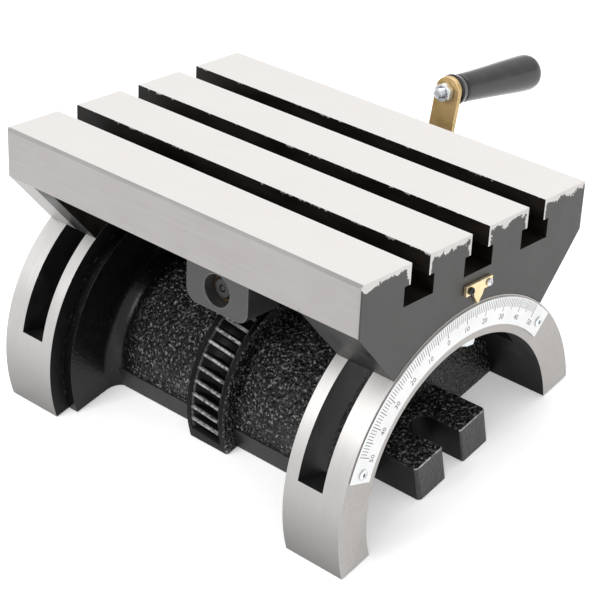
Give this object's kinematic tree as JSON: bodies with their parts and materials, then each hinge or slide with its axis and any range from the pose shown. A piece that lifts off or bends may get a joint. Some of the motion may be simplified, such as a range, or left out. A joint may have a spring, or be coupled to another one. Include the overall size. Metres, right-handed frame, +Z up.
{
  "type": "tilting milling table",
  "caption": "Worm-driven tilting T-slot table on a half-round arched base, with a degree scale, a pointer, through-slot locks and a hand crank.",
  "frame": {"origin": "centre of the base's underside, on the floor", "axes": "+X along the tilt axis towards the degree scale, +Y towards the crank, +Z up"},
  "size_m": [0.2582, 0.3304, 0.1593],
  "materials": {
    "cast_iron_black": "rough black enamelled casting",
    "scale_plate": "satin white metal strip with black graduations",
    "bright_zinc": "bright zinc plate",
    "ground_iron": "ground top and sides, dark painted ends and underside",
    "pointer_brass": "satin brass",
    "grey_paint": "dark grey machine paint",
    "dark_steel": "black oxide",
    "bronze": "bearing bronze",
    "shaft_steel": "turned steel",
    "yellow_zinc": "yellow zinc plate",
    "black_plastic": "smooth black plastic"
  },
  "bodies": {
    "base": {"base_casting": "cast_iron_black", "degree_scale": "scale_plate", "scale_rivet_near": "bright_zinc", "scale_rivet_far": "bright_zinc"},
    "table": {"table_casting": "ground_iron", "pointer": "pointer_brass", "pointer_screw_near": "bright_zinc", "pointer_screw_far": "bright_zinc", "worm_bracket": "grey_paint", "bracket_screw_1": "dark_steel", "bracket_screw_2": "dark_steel", "bracket_screw_3": "dark_steel", "bracket_screw_4": "dark_steel", "front_bush": "bronze", "rear_bush": "bronze", "lock_stud_left_near": "shaft_steel", "lock_washer_left_near": "bright_zinc", "lock_stud_left_far": "shaft_steel", "lock_washer_left_far": "bright_zinc", "lock_stud_right_near": "shaft_steel", "lock_washer_right_near": "bright_zinc", "lock_stud_right_far": "shaft_steel", "lock_washer_right_far": "bright_zinc"},
    "crank": {"worm_shaft": "shaft_steel", "thrust_collar": "dark_steel", "crank_arm": "yellow_zinc", "hub_washer": "bright_zinc", "hub_nut": "bright_zinc", "grip_nut": "bright_zinc", "grip_collar": "dark_steel", "grip_spindle": "bright_zinc"},
    "grip": {"grip": "black_plastic"},
    "nut_left_near": {"lock_nut_left_near": "bright_zinc"},
    "nut_left_far": {"lock_nut_left_far": "bright_zinc"},
    "nut_right_near": {"lock_nut_right_near": "bright_zinc"},
    "nut_right_far": {"lock_nut_right_far": "bright_zinc"}
  },
  "joints": [
    {"name": "table_tilt", "type": "hinge", "parent": "base", "child": "table", "pos_m": [0, 0, 0.006], "axis": [-1, 0, 0], "range_deg": [-59, 31]},
    {"name": "crank_turn", "type": "hinge", "parent": "table", "child": "crank", "pos_m": [0, 0.01766, 0.07683], "axis": [0, 0.9703, -0.2419], "continuous": true},
    {"name": "grip_spin", "type": "hinge", "parent": "crank", "child": "grip", "pos_m": [0.00374, 0.15629, 0.11121], "axis": [-0.0055, 0.9415, -0.3369], "continuous": true},
    {"name": "lock_left_near", "type": "hinge", "parent": "table", "child": "nut_left_near", "pos_m": [-0.10525, -0.00157, 0.06598], "axis": [0, 0.0262, -0.9997], "range_deg": [-90, 0]},
    {"name": "lock_left_far", "type": "hinge", "parent": "table", "child": "nut_left_far", "pos_m": [-0.10525, 0.02954, 0.05822], "axis": [0, -0.4924, -0.8704], "range_deg": [-90, 0]},
    {"name": "lock_right_near", "type": "hinge", "parent": "table", "child": "nut_right_near", "pos_m": [0.10525, -0.00157, 0.06598], "axis": [0, 0.0262, -0.9997], "range_deg": [-90, 0]},
    {"name": "lock_right_far", "type": "hinge", "parent": "table", "child": "nut_right_far", "pos_m": [0.10525, 0.02954, 0.05822], "axis": [0, -0.4924, -0.8704], "range_deg": [-90, 0]}
  ],
  "couplings": [
    {"joint": "crank_turn", "follows": "table_tilt", "ratio": 50}
  ]
}
